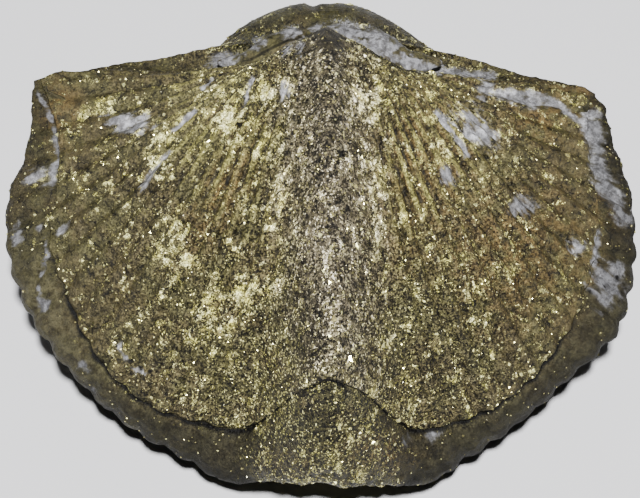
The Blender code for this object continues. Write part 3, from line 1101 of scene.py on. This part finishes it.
def with_worn_band(n, f, colour, worn):
    """Plain grey and brown rock on the band, by up to the share `worn`."""
    worn = n.times(n.between(f.band, 0.1, 0.7, 0.0, worn), n.between(f.mottle, 0.35, 0.6, 0.45, 1.0))
    rock = n.mix(n.between(f.lumps, 0.4, 0.6), BAND_DARK, BAND_GREY)
    return n.mix(n.times(worn, n.rest(f.stony)), colour, rock)


def grain_normal(n, f):
    """Every grain tilts its own way, most where the crust is gritty and not at all on bare stone."""
    tilt = n.vector("SUBTRACT", f.grains, (0.5, 0.5, 0.5))
    tilt = n.scaled(tilt, n.times(n.rest(f.stony), n.between(f.gritty, 0.0, 1.0, 0.4, 1.5)))
    tilted = n.vector("ADD", n.node("NewGeometry").outputs["Normal"], tilt)
    return n.vector("NORMALIZE", tilted)


def pyrite_crust(name, shade, worn=0.0):
    """Tarnished pyrite with fine facets, and bare grey shell where the field `bare` says."""
    n = Nodes(name)
    f = crust_fields(n)
    colour = with_flakes(n, f, clouded(n, f, tarnish(n, f)))
    colour = with_cracks(n, f, with_stone(n, f, colour))
    colour = with_worn_band(n, f, colour, worn)
    # Painted shade and darker colour, halved on bare stone.
    painted_shade_and_dark = n.times(f.painted_shade_and_dark, n.between(f.stony, 0.0, 1.0, 1.0, 0.5))
    height = n.plus(f.pits, n.times(f.grit, 0.4))
    rough = n.plus(n.between(f.mottle, 0.3, 0.7, 0.45, 0.6), n.times(f.stony, 0.25))
    rough = n.minus(rough, n.times(f.flaked, 0.14))
    bump = n.node(
        "Bump", Height=height, Strength=0.9, Distance=BUMP_DEPTH * MM, Normal=grain_normal(n, f)
    )
    return n.finish(
        Base_Color=n.scaled(colour, n.between(painted_shade_and_dark, 0.0, 1.0, shade, DIM_LEFT * shade)),
        Metallic=n.times(n.rest(f.stony), n.plus(0.25, n.times(f.flaked, 0.45))),
        Roughness=n.plus(rough, n.times(f.painted_shade_and_dark, 0.25)),
        Specular_IOR_Level=0.2,
        Normal=bump.outputs[0],
    )


def crystal_pyrite(name):
    """Single crystals, from dull brown to bright brass by the field `tone`."""
    n = Nodes(name)
    tone = n.field("tone")
    colour = n.mix(n.between(tone, 0.1, 0.7), OLIVE, GOLD)
    colour = n.mix(n.between(tone, 0.6, 1.0), colour, PALE)
    colour = n.mix(n.between(n.noise(0.3), 0.55, 0.3, 0.0, 0.7), colour, BROWN)
    bump = n.node("Bump", Height=n.noise(0.06, 2.0), Strength=0.25, Distance=0.02 * MM).outputs[0]
    return n.finish(
        Base_Color=colour,
        Metallic=n.between(tone, 0.0, 0.7, 0.5, 0.75),
        Roughness=n.between(n.noise(0.4), 0.3, 0.7, 0.14, 0.34),
        Normal=bump,
    )


def pale_floor(name):
    n = Nodes(name)
    return n.finish(
        Base_Color=n.mix(n.noise(60.0), FLOOR_GREY, FLOOR_LIGHT),
        Roughness=n.between(n.noise(30.0), 0.3, 0.7, 0.75, 0.85),
    )


# ----------------------------------------------------------
# Stage
# ----------------------------------------------------------


CLIP_START = 0.01
FLOOR_REACH = 900.0
LIGHTS_AIM = (0.0, 0.0, 10.0)
# Place and size of each lamp in millimetres, and its power in watts.
KEY_LIGHT = ((6.0, -107.0, 390.0), 24.0, 6.9)
FILL_LIGHT = ((-40.0, 330.0, 380.0), 300.0, 0.3)
SKY = (0.9, 0.95, 1.0, 1.0)
SKY_STRENGTH = 0.02


def add_camera():
    data = bpy.data.cameras.new("camera")
    data.sensor_width = SENSOR
    data.lens = PIXELS_PER_SLOPE / FRAME_WIDTH * SENSOR
    data.clip_start = CLIP_START
    camera = bpy.data.objects.new("camera", data)
    bpy.context.scene.collection.objects.link(camera)
    camera.location = camera_place() * MM
    camera.rotation_euler = Vector(camera_axes()[0]).to_track_quat("-Z", "Y").to_euler()
    bpy.context.scene.camera = camera


def add_light(name, place, size, power):
    data = bpy.data.lights.new(name, "AREA")
    data.shape = "DISK"
    data.size = size * MM
    data.energy = power
    light = bpy.data.objects.new(name, data)
    bpy.context.scene.collection.objects.link(light)
    light.location = Vector(place) * MM
    light.rotation_euler = (Vector(LIGHTS_AIM) - Vector(place)).to_track_quat("-Z", "Y").to_euler()


def add_floor():
    corners = ((-1, -1, 0), (1, -1, 0), (1, 1, 0), (-1, 1, 0))
    floor = new_mesh("floor", FLOOR_REACH * np.array(corners), [(0, 1, 2, 3)])
    floor.data.materials.append(pale_floor("pale_floor"))


def add_world():
    world = bpy.data.worlds.new("studio")
    world.use_nodes = True
    background = world.node_tree.nodes["Background"]
    background.inputs["Color"].default_value = SKY
    background.inputs["Strength"].default_value = SKY_STRENGTH
    bpy.context.scene.world = world


# ----------------------------------------------------------
# The object
# ----------------------------------------------------------

# Crystals on each valve: name, how many, radius, how deep they sit, and tone.
LAYERS = (
    ("grains", 14000, 0.07, 0.2, 0.15),
    ("crystals", 6000, 0.085, 0.3, 0.65),
    ("glints", 700, 0.16, 0.4, 0.95),
)
TONE_SPREAD = 0.2
CRYSTALS_KEPT = 2.0
STOP_AT_BARE = (0.3, 0.6)
CLUMPS_SET_IN = (0.05, 0.3)
BETWEEN_CLUMPS = 0.12
LOST_ON_BAND = 0.75
WHERE_COARSE = 0.25


def crystal_weight(valve):
    """How many crystals sit at each point, against the others: most on clumps of fine crust."""
    kept = np.minimum(1.0, CRYSTALS_KEPT * valve.size)
    kept *= 1 - smooth_step(valve.bare, *STOP_AT_BARE)
    clumped = BETWEEN_CLUMPS + smooth_step(valve.clump, *CLUMPS_SET_IN)
    weight = kept * (1 - valve.crack) * clumped * (1 - LOST_ON_BAND * valve.band)
    return weight * (WHERE_COARSE + (1 - WHERE_COARSE) * valve.fine)


def dress_valve(growth, node, shade, worn, seed):
    valve = Valve(growth)
    obj = valve.mesh(node + "_surface")
    obj.data.materials.append(pyrite_crust(node + "_pyrite", shade, worn))
    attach(obj, "root")
    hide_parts(node)
    random = np.random.default_rng(seed)
    brass = crystal_pyrite(node + "_crystal_pyrite")
    weight = crystal_weight(valve)
    for name, count, radius, sink, tone in LAYERS:
        centres, radii = scatter(valve, count, weight, radius, sink, random)
        tones = np.clip(random.normal(tone, TONE_SPREAD, count), 0.0, 1.0)
        piece = crystal_mesh(f"{node}_{name}", centres, radii, tones, random)
        piece.data.materials.append(brass)
        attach(piece, "root")


def dress_shale():
    obj = shale_mesh("interarea_shale_surface")
    obj.data.materials.append(pyrite_crust("crusted_shale", shade=1.0))
    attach(obj, "root")
    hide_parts("interarea_shale")


add_camera()
add_world()
add_floor()
add_light("key", *KEY_LIGHT)
add_light("fill", *FILL_LIGHT)
dress_valve(BRACHIAL, "brachial_valve", shade=1.0, worn=0.0, seed=1)
dress_valve(PEDICLE, "pedicle_valve", shade=0.66, worn=0.6, seed=2)
dress_shale()
